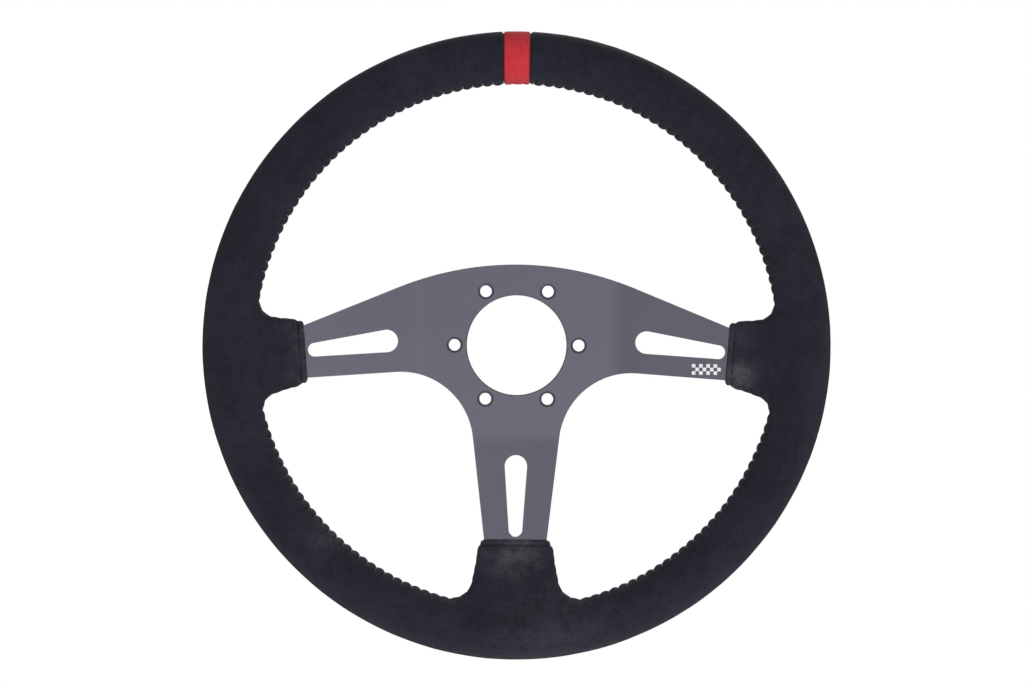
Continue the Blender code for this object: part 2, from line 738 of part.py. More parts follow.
def build_centre_band(look):
    """The coloured band at twelve o'clock, let in flush between the two upper panels."""
    band = ring_of("centre_band", RIM_RADIUS, GRIP_RADIUS - BAND_SINK, GRIP_SEGMENTS, RIM_Y)
    hollow = ring_of("band_hollow", RIM_RADIUS, GRIP_RADIUS - SUEDE, GRIP_SEGMENTS, RIM_Y)
    seam = tube("seam_slot_band", seam_path(*WINDOWS[0][1:], overrun=0), SEAM_SLOT_RADIUS)
    combine(band, "DIFFERENCE", hollow, seam)
    half = BAND_HALF_ANGLE - GAP / 2 / RIM_RADIUS
    combine(band, "INTERSECT", wedge("band_wedge", -half, half))
    return as_part(band, "centre_band", look)


def build_threads(look, band_look):
    """The sewing thread along each seam. The thread around the upper window changes colour at the band."""
    for name, *ends in WINDOWS:
        thread = tube(f"thread_{name}", seam_path(*ends, overrun=2 * GAP), STITCH_RADIUS)
        if name != "upper":
            as_part(thread, thread.name, look, smooth_angle=60)
            continue
        gap = GAP / 2 / RIM_RADIUS
        cuts = {
            "thread_upper_left": (math.pi, 2 * math.pi - BAND_HALF_ANGLE - gap),
            "thread_band": (gap - BAND_HALF_ANGLE, BAND_HALF_ANGLE - gap),
            "thread_upper_right": (BAND_HALF_ANGLE + gap, math.pi),
        }
        for piece_name, (start, end) in cuts.items():
            part = wedge(f"{piece_name}_wedge", start, end)
            piece = combine(copy_of(thread, piece_name), "INTERSECT", part)
            colour = band_look if piece_name == "thread_band" else look
            as_part(piece, piece_name, colour, smooth_angle=60)


# Each window's seam runs clockwise from one sleeve's edge to the next sleeve's.
WINDOWS = (
    ("upper", "left", "upper", "right", "upper"),
    ("lower_right", "right", "lower", "bottom", "upper"),
    ("lower_left", "bottom", "lower", "left", "lower"),
)

clear_scene()
PARTS = collection("racing_steering_wheel")
CUTTERS = collection("cutters")

anodised = material("anodised_plate", (0.130, 0.129, 0.160), 0.42, 0.85)
aluminium = material("ring_aluminium", (0.60, 0.61, 0.62), 0.35, 1.0)
rivet_steel = material("rivet_steel", (0.45, 0.46, 0.48), 0.30, 1.0)
foam_rubber = material("moulded_foam", (0.020, 0.020, 0.021), 0.85)
black_suede = material("black_suede", (0.015, 0.015, 0.022), 0.95)
red_suede = material("red_suede", (0.553, 0.034, 0.047), 0.90)
black_thread = material("black_thread", (0.012, 0.012, 0.015), 0.70)
red_thread = material("red_thread", (0.480, 0.025, 0.035), 0.70)

build_spoke_plate(anodised)
build_rim_ring(aluminium)
build_rivets(rivet_steel)
build_rim_foam(foam_rubber)
build_covers(black_suede)
build_centre_band(red_suede)
build_threads(black_thread, red_thread)
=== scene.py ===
"""The looks of a bare three-spoke racing steering wheel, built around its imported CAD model.

Metres, in the CAD's frame: the wheel stands upright and its axis lies along Y. The driver looks along +Y, +Z
points to twelve o'clock, and the origin is the centre of the hub's rear face.
"""

import math

import bmesh
import bpy
import numpy as np
from mathutils import Matrix, Vector, noise
from mathutils.kdtree import KDTree


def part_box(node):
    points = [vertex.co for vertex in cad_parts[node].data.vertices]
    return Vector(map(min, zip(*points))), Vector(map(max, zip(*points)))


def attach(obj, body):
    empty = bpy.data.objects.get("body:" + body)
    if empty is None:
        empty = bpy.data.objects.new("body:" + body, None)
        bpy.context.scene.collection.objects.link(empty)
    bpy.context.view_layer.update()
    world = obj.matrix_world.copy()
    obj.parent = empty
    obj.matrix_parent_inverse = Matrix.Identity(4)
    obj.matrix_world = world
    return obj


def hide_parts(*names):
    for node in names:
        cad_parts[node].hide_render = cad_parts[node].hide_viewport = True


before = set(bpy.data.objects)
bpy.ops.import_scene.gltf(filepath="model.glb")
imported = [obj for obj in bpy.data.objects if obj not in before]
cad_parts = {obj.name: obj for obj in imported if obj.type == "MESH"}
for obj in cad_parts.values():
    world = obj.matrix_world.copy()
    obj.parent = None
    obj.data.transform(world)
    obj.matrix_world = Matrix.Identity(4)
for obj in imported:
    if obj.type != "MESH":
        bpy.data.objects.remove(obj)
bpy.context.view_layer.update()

# ---------------- sizes

BEND_START, BEND_END = 0.055, 0.150  # the spokes come forward between these radii

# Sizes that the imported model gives
GRIP_LOW, GRIP_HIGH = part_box("cover_upper_right")
PLATE_LOW, PLATE_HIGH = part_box("spoke_plate")
WHEEL_RADIUS = GRIP_HIGH.x
GRIP_RADIUS = (GRIP_HIGH.y - GRIP_LOW.y) / 2
RIM_Y = (GRIP_HIGH.y + GRIP_LOW.y) / 2
RIM_RADIUS = WHEEL_RADIUS - GRIP_RADIUS
INNER_RADIUS = RIM_RADIUS - GRIP_RADIUS
TAB_END = PLATE_HIGH.x
PLATE_TOP = PLATE_HIGH.z
PLATE_HALF = 0.002  # half its thickness
DISH = PLATE_HIGH.y - PLATE_LOW.y - 2 * PLATE_HALF
HUB_Y = PLATE_HIGH.y - PLATE_HALF
HUB_FRONT, HUB_REAR = HUB_Y - PLATE_HALF, HUB_Y + PLATE_HALF
DISH_SLOPE = DISH / (BEND_END - BEND_START)

# Spoke plate
BEND_SOFTNESS = 0.004
BEND_CUTS = 8
TOP_ARC_RADIUS, TOP_ARC_ANGLE = 0.175, math.radians(22.4)
ARM_BOTTOM, ARM_TOP = -0.0190, 0.0096
LEG_HALF_WIDTH = 0.0172
LEG_TAPER_END = -0.112
TAB_CORNER = 0.002
CROTCH = (0.0291, -0.0129, 0.041)  # where the corner's sides would meet, and its radius
BORE_RADIUS, BORE_CHAMFER = 0.0281, 0.0005
BOLT_COUNT, BOLT_CIRCLE_RADIUS = 6, 0.035
BOLT_HOLE_RADIUS = 0.0033
COUNTERSINK_RADIUS = 0.0046
ARM_SLOT = ((0.0731, 0.0020, 0.0063), (0.1130, -0.0030, 0.0038))
LEG_SLOT = ((0.0682, 0.0, 0.0063), (0.1034, 0.0, 0.0038))
PLATE_EDGE = 0.00045  # how far the plate's edges are broken
SHARP_ANGLES = (1.0, 2.2)  # radians between the faces at an edge that is broken
OVERCUT = 0.004

# Grip and its cover
SUEDE = 0.0012
SLEEVE_ROOT = 0.151
# At a sleeve's end and at its root: half its thickness, and how much of that rounds its section's corners
SLEEVE_HALVES, SLEEVE_ROUNDNESS = (0.0038, 0.0112), (0.42, 0.92)
JOIN_REACH, JOIN_ROUNDS = 0.0025, 24  # the cover is eased this near to where sleeve and rim meet
SKIN_STEP = 0.0015  # size of the cover mesh's faces
FINE_REACHES = (0.008, 0.0045)  # faces this near to a seam, a hem or a joint are halved, and then again
SUEDE_LEFT = 0.0002  # the cover is at least this thick under a crease
HEM = 0.0031  # width of the turned hem at a sleeve's end
# Inward from a sleeve's end, the hem, the groove behind it and a fold: where, how high and how wide
SLEEVE_FOLDS = ((HEM / 2, 0.00012, 0.0010), (HEM, -0.00055, 0.0008), (2.2 * HEM, 0.00045, 0.0030))
WRINKLES = (0.008, 0.00028, 0.012)  # the same for the uneven folds there
WRINKLE_WAVES = (45, 150)  # for each metre along the spoke and across it
SURFACE_WAVES = ((0.00010, 55), (0.00004, 190))  # how high, and how many for each metre
SLEEVE_REACH, SLEEVE_HALF_WIDTH = 0.04, 0.045
PLATE_CLEARANCE = 0.0001  # between the plate and the cover's end
PALE_END, PALE_END_REACH = 0.30, 0.009  # how much paler every sleeve's end is made, and how far in
# Where else the suede is made paler: (x, z), how far that reaches, and how much
PALE_AND_LIT_SPOTS = (
    ((0.1235, -0.0165), 0.008, 1.0),
    ((0.000, -0.113), 0.015, 0.68),
    # painted light: the rim's bottom made paler where light falls on it
    ((0.020, -0.160), 0.035, 0.20),
    # painted light: the rim's inner edge at half past seven made paler where light falls on it
    ((-0.106, -0.106), 0.008, 0.35),
)

# Seams
STITCH_PITCH = 0.0056
STITCH_REACH = 0.0058  # from the seam to the needle's holes
THREAD_RADIUS = 0.00038
THREAD_SIDES = 8
THREAD_SINK, THREAD_DIVE = 0.00060, 0.00070  # how deep a stitch runs, and how much deeper its ends dive
STITCH_CURL = 0.10  # how far a stitch's ends lean along the seam, in stitches
STRANDS, STRAND_TURN = 3, 2.1  # the turn is in radians, from one ring of the tube to the next
LUMP_HEIGHT = 0.00155
LUMP_LEVEL = 0.72  # the part of a lump's height that is level with the grip's surface
LUMP_POWER = 0.55  # a smaller one makes the lumps fuller and the creases narrower
CREASE_STRAIGHT = 0.0030  # the creases start to slant this far from the seam
CREASE_SLANT = 60  # stitches for each metre
CREASE_REACH = 0.0085
CREASE_SHADE_DEPTH = 0.0007  # a crease this deep gets the full painted shade
HOLE_DEPTH, HOLE_WIDTH, HOLE_LENGTH = 0.00030, 0.0012, 0.10  # the length is in stitches
VALLEY_DEPTH, VALLEY_WIDTH = 0.00025, 0.0006  # along the seam's own line
# The seam pulls less on a sleeve, by the corner that leads onto it, and across the band
CROTCH_FADE, CROTCH_START, CROTCH_PULL = 0.016, 0.35, 0.26
BAND_FADE, BAND_LOSS = 0.0017, 0.70
BAND_SHIFT = -0.0006  # the band's middle, left of twelve o'clock
BAND_HALF_WIDTH = 0.0072  # at the rim's inner edge
BAND_TILT = math.radians(0.93)  # its sides open outward by this much, less than the wheel's own radii
BAND_SIDE = BAND_HALF_WIDTH - INNER_RADIUS * math.tan(BAND_TILT)
LOWER_PANEL_START = math.radians(106)
# Each joint between two panels, clockwise: the way it runs, and how far right of the axis it passes
JOINTS = (
    (BAND_TILT, BAND_SHIFT + BAND_SIDE),
    (LOWER_PANEL_START, 0.0),
    (-LOWER_PANEL_START, 0.0),
    (-BAND_TILT, BAND_SHIFT - BAND_SIDE),
)
JOINT_DEPTHS, JOINT_WIDTH = (0.0010, 0.00014, 0.00014, 0.0010), 0.0006
JOINT_REACH = 0.005  # only faces this near to a joint are cut by it
SEAM_REACH = 0.03  # a seam shapes nothing further away than this
SEAM_SETTLE_ANGLE = math.radians(12)


# ---------------- the grip as a distance field


def bell(distance, width):
    """1 at no distance, falling smoothly to 0 past the width."""
    return np.exp(-((distance / width) ** 2))


def between(first, last, part):
    return first + (last - first) * part


def ramp(distance):
    """0 before a bend and the distance past it afterwards, with a soft corner."""
    soft = (distance + BEND_SOFTNESS) ** 2 / (4 * BEND_SOFTNESS)
    return np.where(distance <= -BEND_SOFTNESS, 0.0, np.where(distance >= BEND_SOFTNESS, distance, soft))


def plate_y(along):
    """The y of the plate's middle plane at this distance out along a spoke."""
    return HUB_Y - DISH_SLOPE * (ramp(along - BEND_START) - ramp(along - BEND_END))


def rounded_max(a, b, radius):
    """What lies inside both distances, with the edge where they meet rounded."""
    out_a, out_b = np.maximum(a + radius, 0), np.maximum(b + radius, 0)
    return np.minimum(np.maximum(a, b) + radius, 0) + np.hypot(out_a, out_b) - radius


class Edge:
    """One side edge of a sleeve: a straight line, then an arc that runs into the rim's inner edge."""

    def __init__(self, offset, slope, fillet, sign):
        self.offset, self.slope, self.fillet, self.sign = offset, slope, fillet, sign
        reach = offset + fillet * math.hypot(1, slope)
        square = 1 + slope**2
        away = INNER_RADIUS - fillet
        along = (-reach * slope + math.sqrt(square * away**2 - reach**2)) / square
        self.centre = Vector((along, reach + slope * along))

    def distance(self, along, side):
        """How far a point lies outside the edge, seen from the front."""
        side = side * self.sign
        line = (side - self.offset - self.slope * along) / math.hypot(1, self.slope)
        from_x, from_z = along - self.centre.x, side - self.centre.y
        arc = self.fillet - np.hypot(from_x, from_z)
        past_arc = np.hypot(np.minimum(from_x - self.fillet, 0), from_z)
        arc = np.where(from_z > 0, past_arc, arc)
        return np.where(from_x + self.slope * from_z > 0, arc, line)

    def points(self, sleeve_end, steps):
        """(along, side) points from the sleeve's end to where the arc meets the rim."""
        first = math.atan(self.slope) - math.pi / 2
        last = math.atan2(self.centre.y, self.centre.x)
        angles = np.linspace(first, last, steps)
        arc = [self.centre + self.fillet * Vector((math.cos(a), math.sin(a))) for a in angles]
        start = Vector((sleeve_end, self.offset + self.slope * sleeve_end))
        line = [start.lerp(arc[0], step / steps) for step in range(steps)]
        return [(point.x, self.sign * point.y) for point in line + arc]


class Spoke:
    """A spoke's own directions, its sleeve's outline, and the sides of its plate inside the sleeve."""

    def __init__(self, along, side, sleeve_end, slant, end_corner, edges, tab):
        self.along, self.side = Vector(along), Vector(side)
        self.sleeve_end, self.slant, self.end_corner = sleeve_end, slant, end_corner
        self.edges, self.tab = edges, tab

    def place(self, along, side, y):
        return self.along * along + self.side * side + Vector((0, y, 0))

    def flat(self, points):
        """How far out along the spoke and how far across it the points are."""
        return points @ np.array(self.along), points @ np.array(self.side)

    def past_end(self, along, side):
        """How far a point is inside the sleeve from its end."""
        return (along - self.sleeve_end - self.slant * side) / math.hypot(1, self.slant)

    def sleeve_places(self, points):
        """The same and how far inside the sleeve they are, with 1 m for points on the wheel's other side."""
        along, side = self.flat(points)
        return along, side, np.where(along > 0, self.past_end(along, side), 1.0)

    def distance(self, points):
        along, side = self.flat(points)
        edges = np.maximum(*[edge.distance(along, side) for edge in self.edges.values()])
        plan = rounded_max(edges, -self.past_end(along, side), self.end_corner)
        flare = np.clip((along - self.sleeve_end) / (SLEEVE_ROOT - self.sleeve_end), 0, 1)
        half = between(*SLEEVE_HALVES, flare**2)
        face = np.abs(points[:, 1] - plate_y(along)) - half
        body = rounded_max(plan, face, half * between(*SLEEVE_ROUNDNESS, flare))
        return np.maximum(body, np.hypot(points[:, 0], points[:, 2]) - RIM_RADIUS)


ARM = {
    "side": (0, 0, 1),
    "sleeve_end": 0.1182,
    "slant": 0.08,
    "end_corner": 0.0022,  # how round the sleeve's end is seen from the front
    "edges": {
        "upper": Edge(offset=-0.0033, slope=0.137, fillet=0.009, sign=1),
        "lower": Edge(offset=-0.0224, slope=0.370, fillet=0.008, sign=-1),
    },
    "tab": (ARM_BOTTOM, ARM_TOP),
}
LEG = {
    "side": (1, 0, 0),
    "sleeve_end": 0.1086,
    "slant": 0.0,
    "end_corner": 0.004,
    "edges": {name: Edge(-0.0022, 0.200, 0.011, sign) for name, sign in (("upper", 1), ("lower", -1))},
    "tab": (-LEG_HALF_WIDTH, LEG_HALF_WIDTH),
}
SPOKES = {
    "left": Spoke(along=(-1, 0, 0), **ARM),
    "right": Spoke(along=(1, 0, 0), **ARM),
    "bottom": Spoke(along=(0, 0, -1), **LEG),
}
# Each window's seam runs clockwise from one sleeve's edge to the next sleeve's.
WINDOWS = (
    ("left", "upper", "right", "upper"),
    ("right", "lower", "bottom", "upper"),
    ("bottom", "lower", "left", "lower"),
)


def rim_distance(points):
    ring = np.hypot(points[:, 0], points[:, 2]) - RIM_RADIUS
    return np.hypot(ring, points[:, 1] - RIM_Y) - GRIP_RADIUS


def grip_distance(points):
    return np.min([rim_distance(points)] + [spoke.distance(points) for spoke in SPOKES.values()], axis=0)


def grip_normal(points, reach=0.00005):
    """The direction straight out of the grip's surface."""
    slope = np.empty_like(points)
    for axis in range(3):
        step = np.zeros(3)
        step[axis] = reach
        slope[:, axis] = grip_distance(points + step) - grip_distance(points - step)
    return slope / np.maximum(np.linalg.norm(slope, axis=1, keepdims=True), 1e-9)


def onto_grip(points, rounds=3):
    for _ in range(rounds):
        points = points - grip_distance(points)[:, None] * grip_normal(points)
    return points


# ---------------- meshes


def add_object(name, data, place=(0, 0, 0)):
    made = bpy.data.objects.new(name, data)
    made.location = place
    bpy.context.scene.collection.objects.link(made)
    return made


def mesh_from(shape, name):
    """The bmesh as a mesh of that name. The bmesh is freed."""
    mesh = bpy.data.meshes.new(name)
    shape.to_mesh(mesh)
    shape.free()
    return mesh


def evaluated_mesh(obj):
    """A mesh of the object as its modifiers leave it."""
    bpy.context.view_layer.update()
    return bpy.data.meshes.new_from_object(obj.evaluated_get(bpy.context.evaluated_depsgraph_get()))


def add_mesh(name, points, faces, look, smooth=True):
    mesh = bpy.data.meshes.new(name)
    mesh.from_pydata([tuple(point) for point in points], [], [tuple(face) for face in faces])
    mesh.update()
    made = add_object(name, mesh)
    mesh.materials.append(look)
    if smooth:
        mesh.shade_smooth()
    return made


def set_attribute(obj, name, values):
    """A number at every point of the mesh, for its material to read."""
    attribute = obj.data.attributes.new(name, "FLOAT", "POINT")
    attribute.data.foreach_set("value", np.asarray(values, np.float32))


def surface_net(distance, low, high, step):
    """Points and quads of the surface where the distance is 0, with a point in each cell that it crosses."""
    axes = [np.arange(low[axis], high[axis] + step, step) for axis in range(3)]
    grid = np.stack(np.meshgrid(*axes, indexing="ij"), axis=-1)
    value = distance(grid.reshape(-1, 3)).reshape(grid.shape[:3])
    cells = np.array(value.shape) - 1
    total, count = np.zeros((*cells, 3)), np.zeros(cells)
    crossed = []
    for axis in range(3):
        near = np.take(value, range(cells[axis]), axis)
        far = np.take(value, range(1, cells[axis] + 1), axis)
        cuts = (near < 0) != (far < 0)
        crossed.append((cuts, near < 0))
        point = np.take(grid, range(cells[axis]), axis).copy()
        point[..., axis] += step * np.where(cuts, near / np.where(cuts, near - far, 1), 0)
        others = [other for other in range(3) if other != axis]
        for first in (0, 1):
            for second in (0, 1):
                part = [slice(None)] * 3
                part[others[0]] = slice(first, first + cells[others[0]])
                part[others[1]] = slice(second, second + cells[others[1]])
                part = tuple(part)
                total += np.where(cuts[part][..., None], point[part], 0)
                count += cuts[part]
    number = np.full(cells, -1)
    used = count > 0
    number[used] = np.arange(used.sum())
    points = total[used] / count[used][:, None]
    faces = []
    for axis, (cuts, outward) in enumerate(crossed):
        others = [(axis + 1) % 3, (axis + 2) % 3]
        where = np.argwhere(cuts)
        where = where[(where[:, others[0]] > 0) & (where[:, others[1]] > 0)]
        where = where[(where[:, others[0]] < cells[others[0]]) & (where[:, others[1]] < cells[others[1]])]
        corners = []
        for first, second in ((0, 0), (1, 0), (1, 1), (0, 1)):
            cell = where.copy()
            cell[:, others[0]] -= first
            cell[:, others[1]] -= second
            corners.append(number[tuple(cell.T)])
        quads = np.stack(corners, axis=1)
        turned = ~outward[tuple(where.T)]
        quads[turned] = quads[turned][:, ::-1]
        faces.append(quads)
    return points, np.concatenate(faces)


def mesh_arrays(shape):
    """A bmesh's points, and the two point numbers of each edge."""
    shape.verts.index_update()
    points = np.array([vertex.co for vertex in shape.verts])
    ends = np.array([(edge.verts[0].index, edge.verts[1].index) for edge in shape.edges])
    return points, ends


def relaxed(points, ends, weight, rounds):
    """Each point drawn towards its neighbours' mean, by its weight."""
    count = np.bincount(ends.ravel(), minlength=len(points))[:, None]
    for _ in range(rounds):
        total = np.zeros_like(points)
        np.add.at(total, ends[:, 0], points[ends[:, 1]])
        np.add.at(total, ends[:, 1], points[ends[:, 0]])
        points = points + weight[:, None] * (total / np.maximum(count, 1) - points)
    return points


def move_points(shape, points):
    for vertex, point in zip(shape.verts, points):
        vertex.co = point


def unit(vectors):
    return vectors / np.linalg.norm(vectors, axis=1, keepdims=True)


def sweep(points, radius, sides):
    """Points and faces of a closed tube along the given points."""
    ahead = unit(np.gradient(points, axis=0))
    across = unit(np.cross(ahead, (0, 0, 1)))
    up = np.cross(ahead, across)
    turn = (np.arange(sides) * math.tau / sides)[:, None]
    rings = points[:, None] + radius * (across[:, None] * np.cos(turn) + up[:, None] * np.sin(turn))
    faces = []
    last = (len(points) - 1) * sides
    for start in range(0, last, sides):
        for j in range(sides):
            k = (j + 1) % sides
            faces.append((start + j, start + k, start + sides + k, start + sides + j))
    faces += [tuple(reversed(range(sides))), tuple(range(last, last + sides))]
    return rings.reshape(-1, 3), faces


# ---------------- seams


class Seam:
    """The line along which the cover is sewn shut around one window, with points a fixed distance apart."""

    SPACING = 0.0004
    EDGE_STEPS, RIM_STEPS = 24, 400

    def __init__(self, first, first_edge, second, second_edge):
        ends = []
        for name, edge in ((first, first_edge), (second, second_edge)):
            spoke = SPOKES[name]
            flat = spoke.edges[edge].points(spoke.sleeve_end, self.EDGE_STEPS)
            ends.append([spoke.place(along, side, float(plate_y(along))) for along, side in flat])
        start, finish = ends[0][-1], ends[1][-1]
        from_angle, to_angle = math.atan2(start.x, start.z), math.atan2(finish.x, finish.z)
        if to_angle < from_angle:
            to_angle += math.tau
        rim = []
        for angle in np.linspace(from_angle, to_angle, self.RIM_STEPS)[1:-1]:
            from_start = max(0, 1 - (angle - from_angle) / SEAM_SETTLE_ANGLE)
            from_finish = max(0, 1 - (to_angle - angle) / SEAM_SETTLE_ANGLE)
            y = RIM_Y + (start.y - RIM_Y) * from_start**2 + (finish.y - RIM_Y) * from_finish**2
            rim.append((INNER_RADIUS * math.sin(angle), y, INNER_RADIUS * math.cos(angle)))
        line = np.array([tuple(point) for point in ends[0] + rim + ends[1][::-1]])
        lengths = np.concatenate([[0], np.cumsum(np.linalg.norm(np.diff(line, axis=0), axis=1))])
        self.length = lengths[-1]
        self.at = np.linspace(0, self.length, int(self.length / self.SPACING))
        self.points = np.stack([np.interp(self.at, lengths, line[:, axis]) for axis in range(3)], axis=1)
        self.points = onto_grip(self.points)
        self.ahead = unit(np.gradient(self.points, axis=0))
        self.stitches = round(self.length / STITCH_PITCH)
        self.pitch = self.length / self.stitches
        rim_start, rim_end = lengths[len(ends[0])], lengths[-1 - len(ends[1])]
        from_crotch = np.minimum(self.at - rim_start, rim_end - self.at)
        on_rim = np.clip(from_crotch / CROTCH_FADE + CROTCH_START, 0, 1)
        from_band = np.abs(self.points[:, 0] - BAND_SHIFT) - BAND_HALF_WIDTH
        on_band = np.where(self.points[:, 2] > 0, np.clip(1 - from_band / BAND_FADE, 0, 1), 0)
        self.strength = between(CROTCH_PULL, 1, on_rim) * (1 - BAND_LOSS * on_band)

    def point(self, at):
        return np.array([np.interp(at, self.at, self.points[:, axis]) for axis in range(3)])


def seam_tree(seams):
    """A tree of every seam's points, and the seam and the point's number behind each of its entries."""
    owners = [(seam, i) for seam in seams for i in range(len(seam.points))]
    tree = KDTree(len(owners))
    for number, (seam, i) in enumerate(owners):
        tree.insert(seam.points[i], number)
    tree.balance()
    return tree, owners


def seam_places(points, seams):
    """For every point: its distance along the nearest seam in stitches, its signed distance from that seam
    towards the front, and how hard the seam pulls there."""
    tree, owners = seam_tree(seams)
    along, across, strength = np.zeros(len(points)), np.full(len(points), 1.0), np.zeros(len(points))
    for number, point in enumerate(points):
        _, nearest, distance = tree.find(point)
        if distance > SEAM_REACH:
            continue
        seam, i = owners[nearest]
        offset = point - seam.points[i]
        forward = float(offset @ seam.ahead[i])
        along[number] = (seam.at[i] + forward) / seam.pitch
        distance = math.sqrt(max(float(offset @ offset) - forward**2, 0))
        across[number] = math.copysign(distance, -offset[1])
        strength[number] = seam.strength[i]
    return along, across, strength


def pucker(along, across, strength):
    """How far the cover stands out near a seam: round lumps between the stitches with a narrow crease at each
    one, pinched in at the needle holes."""
    slant = CREASE_SLANT * np.maximum(np.abs(across) - CREASE_STRAIGHT, 0) * np.sign(across)
    phase = along - np.clip(slant, -0.5, 0.5)
    lump = np.abs(np.sin(math.pi * (phase - 0.5))) ** LUMP_POWER
    swell = LUMP_HEIGHT * bell(across, CREASE_REACH) * (lump - LUMP_LEVEL)
    hole = bell(np.abs(across) - STITCH_REACH, HOLE_WIDTH) * bell(phase % 1 - 0.5, HOLE_LENGTH)
    valley = VALLEY_DEPTH * bell(across, VALLEY_WIDTH) * (0.4 + 0.6 * strength)
    return strength * (swell - HOLE_DEPTH * hole) - valley


# ---------------- materials


class Look:
    """A procedural material: nodes around one Principled shader. Its textures are laid out in metres."""

    def __init__(self, name, **sockets):
        self.material = bpy.data.materials.new(name)
        self.material.use_nodes = True
        self.tree = self.material.node_tree
        self.shader = self.tree.nodes["Principled BSDF"]
        for socket, value in sockets.items():
            self.shader.inputs[socket.replace("_", " ")].default_value = value
        self.place = self.add("ShaderNodeTexCoord").outputs["Object"]

    def add(self, kind, settings=None, **inputs):
        node = self.tree.nodes.new(kind)
        for name, value in (settings or {}).items():
            setattr(node, name, value)
        for name, value in inputs.items():
            self.feed(node.inputs[name.replace("_", " ")], value)
        return node

    def feed(self, socket, value):
        if isinstance(value, bpy.types.NodeSocket):
            self.tree.links.new(value, socket)
        else:
            socket.default_value = value

    def noise(self, scale, detail=3.0, roughness=0.5, vector=None):
        node = self.add("ShaderNodeTexNoise", Scale=scale, Detail=detail, Roughness=roughness)
        self.tree.links.new(vector or self.place, node.inputs["Vector"])
        return node.outputs["Fac"]

    def steps(self, value, *stops):
        """The value turned into numbers or colours, from (position, colour) stops."""
        node = self.add("ShaderNodeValToRGB", Fac=value)
        ramp_stops = node.color_ramp.elements
        while len(ramp_stops) < len(stops):
            ramp_stops.new(0.5)
        for stop, (position, colour) in zip(ramp_stops, stops):
            stop.position = position
            stop.color = (*colour, 1) if isinstance(colour, tuple) else (colour, colour, colour, 1)
        return node.outputs["Color"]

    def sum(self, a, b, operation="ADD"):
        node = self.add("ShaderNodeMath", {"operation": operation})
        self.feed(node.inputs[0], a)
        self.feed(node.inputs[1], b)
        return node.outputs["Value"]

    def times(self, a, b):
        return self.sum(a, b, "MULTIPLY")

    def mix(self, factor, a, b):
        node = self.add("ShaderNodeMix", {"data_type": "RGBA"})
        for index, value in ((0, factor), (6, a), (7, b)):
            self.feed(node.inputs[index], (*value, 1) if isinstance(value, tuple) else value)
        return node.outputs[2]

    def attribute(self, name):
        return self.add("ShaderNodeAttribute", {"attribute_name": name}).outputs["Fac"]

    def bump(self, height, distance, strength=1.0):
        node = self.add("ShaderNodeBump", Height=height, Distance=distance, Strength=strength)
        self.feed(self.shader.inputs["Normal"], node.outputs["Normal"])

    def colour(self, value):
        self.feed(self.shader.inputs["Base Color"], value)

    def roughness(self, value):
        self.feed(self.shader.inputs["Roughness"], value)


def suede_look(name, sheen, dark, light, pale_and_lit_colour):
    """Brushed suede: patches and strokes where the nap lies another way, short fibres, painted shade in the
    creases, and paler patches, two of them painted light.
    """
    look = Look(name, Roughness=0.95, Sheen_Weight=sheen, Sheen_Roughness=0.5, Specular_IOR_Level=0.15)
    patches = look.steps(look.noise(24.0, detail=5.0, roughness=0.62), (0.40, 0.0), (0.62, 1.0))
    strokes = look.steps(look.noise(130.0, detail=4.0, roughness=0.65), (0.36, 0.0), (0.66, 1.0))
    nap = look.steps(look.noise(950.0, detail=5.0, roughness=0.72), (0.36, 0.0), (0.64, 1.0))
    fibres = look.noise(4200.0, detail=2.0, roughness=0.7)
    tone = look.sum(look.times(patches, 0.30), look.times(strokes, 0.25))
    tone = look.sum(tone, look.times(nap, 0.45))
    base = look.mix(tone, dark, light)
    # paler nap at the sleeves' ends and the listed spots, painted light at two of them
    base = look.mix(look.times(look.attribute("pale_nap_and_painted_light"), look.sum(nap, strokes)), base, pale_and_lit_colour)
    # painted shade: the suede is darkened where the cover is pressed in, at creases, needle holes, grooves
    # and the panels' joints
    crease = look.times(look.attribute("crease"), 0.8)
    look.colour(look.mix(crease, base, tuple(0.25 * part for part in dark)))
    look.roughness(look.steps(patches, (0.0, 0.86), (1.0, 1.0)))
    height = look.sum(nap, look.sum(look.times(strokes, 0.8), look.times(fibres, 0.5)))
    look.bump(height, 0.00028, 0.9)
    return look.material


def thread_look(name, dark, light):
    """Waxed sewing thread, its strands twisted around each other."""
    look = Look(name, Roughness=0.5, Sheen_Weight=0.15, Specular_IOR_Level=0.4)
    strands = look.add("ShaderNodeMath", {"operation": "SINE"})
    look.feed(strands.inputs[0], look.attribute("twist"))
    wave = look.sum(look.times(strands.outputs["Value"], 0.5), 0.5)
    fuzz = look.noise(2600.0, detail=2.0)
    look.colour(look.mix(look.times(wave, fuzz), dark, light))
    look.roughness(look.steps(wave, (0.0, 0.62), (1.0, 0.42)))
    look.bump(wave, 0.00012, 0.9)
    return look.material


def anodised_look(name, dark, light, smooth, rough):
    """Bead-blasted and anodised aluminium: a fine even grain, with faint clouds and handling marks."""
    look = Look(name, Metallic=0.55, Specular_IOR_Level=0.5)
    clouds = look.noise(18.0, detail=5.0, roughness=0.6)
    grain = look.noise(2200.0, detail=3.0, roughness=0.65)
    specks = look.noise(700.0, detail=2.0)
    tone = look.sum(look.times(clouds, 0.6), look.times(grain, 0.4))
    look.colour(look.mix(tone, dark, light))
    look.roughness(look.steps(clouds, (0.35, smooth), (0.65, rough)))
    look.bump(look.sum(grain, look.times(specks, 0.4)), 0.00006, 0.55)
    return look.material


def rubber_look():
    look = Look("moulded_foam", Roughness=0.85, Specular_IOR_Level=0.3)
    skin = look.noise(900.0, detail=4.0, roughness=0.6)
    cells = look.add("ShaderNodeTexVoronoi", Scale=1600.0, Vector=look.place).outputs["Distance"]
    look.colour(look.mix(skin, (0.014, 0.014, 0.015), (0.030, 0.030, 0.032)))
    look.roughness(look.steps(skin, (0.3, 0.75), (0.7, 0.95)))
    look.bump(look.sum(skin, cells), 0.0002, 0.5)
    return look.material


